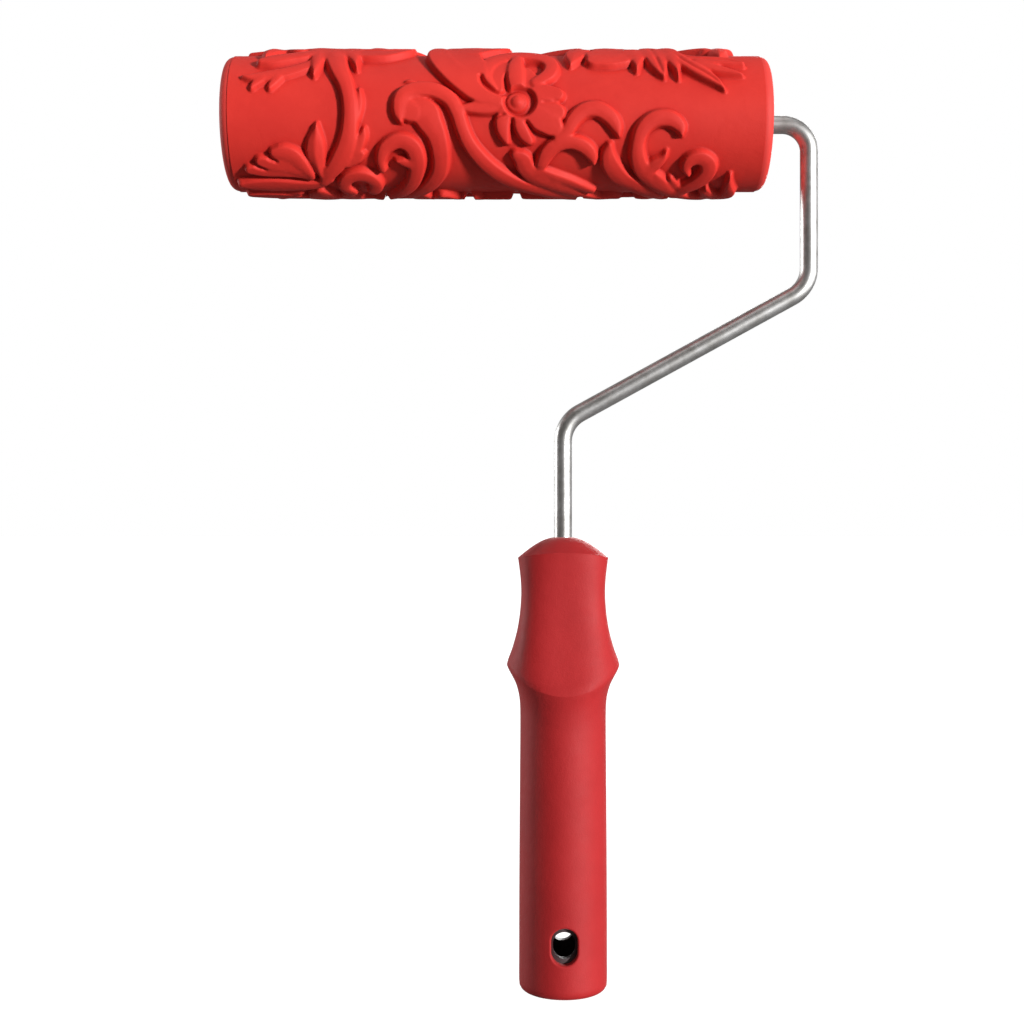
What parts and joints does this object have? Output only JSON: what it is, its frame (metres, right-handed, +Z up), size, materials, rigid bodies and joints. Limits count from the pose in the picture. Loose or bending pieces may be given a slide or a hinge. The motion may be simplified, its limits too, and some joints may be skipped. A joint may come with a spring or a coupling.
{
  "type": "textured pattern roller",
  "caption": "Hand roller with a raised scroll pattern on a rubber sleeve that spins on a bent steel rod with a moulded grip.",
  "frame": {"origin": "centre of the pole socket's mouth, at the butt of the handle", "axes": "+Z up the handle, +X along the roller's axle towards the crank, -Y towards the viewer"},
  "size_m": [0.1981, 0.0496, 0.3158],
  "materials": {
    "rubber_red": "matte moulded rubber",
    "tube_grey": "extruded tube",
    "hub_red": "moulded",
    "nylon": "moulded",
    "steel_zinc": "zinc plated",
    "steel_dark": "phosphated spring steel",
    "nylon_blue": "moulded",
    "steel_rod": "bright plated",
    "core_black": "moulded",
    "grip_red": "satin moulded soft plastic"
  },
  "bodies": {
    "frame": {"wire_frame": "steel_rod", "stop_collar": "steel_zinc", "left_thrust_washer": "steel_zinc", "right_thrust_washer": "steel_zinc", "spring_washer": "steel_dark", "lock_nut": "steel_zinc", "nut_nylon_ring": "nylon_blue", "handle_core": "core_black", "grip": "grip_red", "rod_push_nut": "steel_dark"},
    "roller": {"pattern_sleeve": "rubber_red", "core_tube": "tube_grey", "left_hub": "hub_red", "right_hub": "hub_red", "left_bush": "nylon", "right_bush": "nylon", "dust_cap": "hub_red"}
  },
  "joints": [
    {"name": "roller_spin", "type": "hinge", "parent": "frame", "child": "roller", "pos_m": [-0.0222, 0, 0.291], "axis": [1, 0, 0], "continuous": true}
  ]
}
